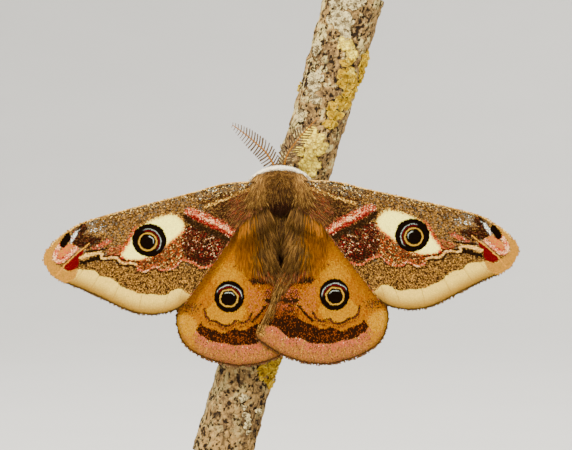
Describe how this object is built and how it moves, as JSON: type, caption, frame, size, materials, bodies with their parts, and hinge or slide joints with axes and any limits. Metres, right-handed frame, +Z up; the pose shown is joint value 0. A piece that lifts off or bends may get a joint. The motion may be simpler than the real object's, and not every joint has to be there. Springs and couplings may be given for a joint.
{
  "type": "emperor moth",
  "caption": "Life-size male emperor moth at rest with its wings spread, gripping a cut length of lichened branch that a display stand holds up.",
  "frame": {"origin": "on the underside of the stand's base, at the middle of the model's bounding box across and along the floor", "axes": "+X towards the moth's right-hand side as a viewer in front of its back sees it, +Y from the viewer through the wings to the branch, +Z up, towards the moth's head"},
  "size_m": [0.0597, 0.048, 0.0738],
  "materials": {
    "coat_brown": "dark brown woolly hair, matt",
    "coat_tan": "tan hair, matt",
    "coat_white": "white hair, matt",
    "forewing": "scaled membrane in grey-brown and cream, with an eyespot, matt",
    "hindwing": "scaled membrane in orange, with an eyespot and a dark band, matt",
    "feeler": "orange shaft with brown combs, satin",
    "eye": "black compound eye, glossy",
    "bark": "rough tan bark with grey and yellow lichen",
    "stand_wood": "dark stained and waxed",
    "stand_steel": "brushed steel rod"
  },
  "bodies": {
    "root": {"head": "coat_brown", "eye_left": "eye", "eye_right": "eye", "antenna_left": "feeler", "antenna_right": "feeler", "collar": "coat_white", "thorax": "coat_brown", "tegula_left": "coat_tan", "tegula_right": "coat_tan", "abdomen": "coat_brown", "forewing_left": "forewing", "forewing_right": "forewing", "hindwing_left": "hindwing", "hindwing_right": "hindwing", "leg_fore_left": "coat_tan", "leg_fore_right": "coat_tan", "leg_mid_left": "coat_tan", "leg_mid_right": "coat_tan", "leg_hind_left": "coat_tan", "leg_hind_right": "coat_tan", "perch": "bark", "stand_base": "stand_wood", "stand_rod": "stand_steel"}
  },
  "joints": []
}
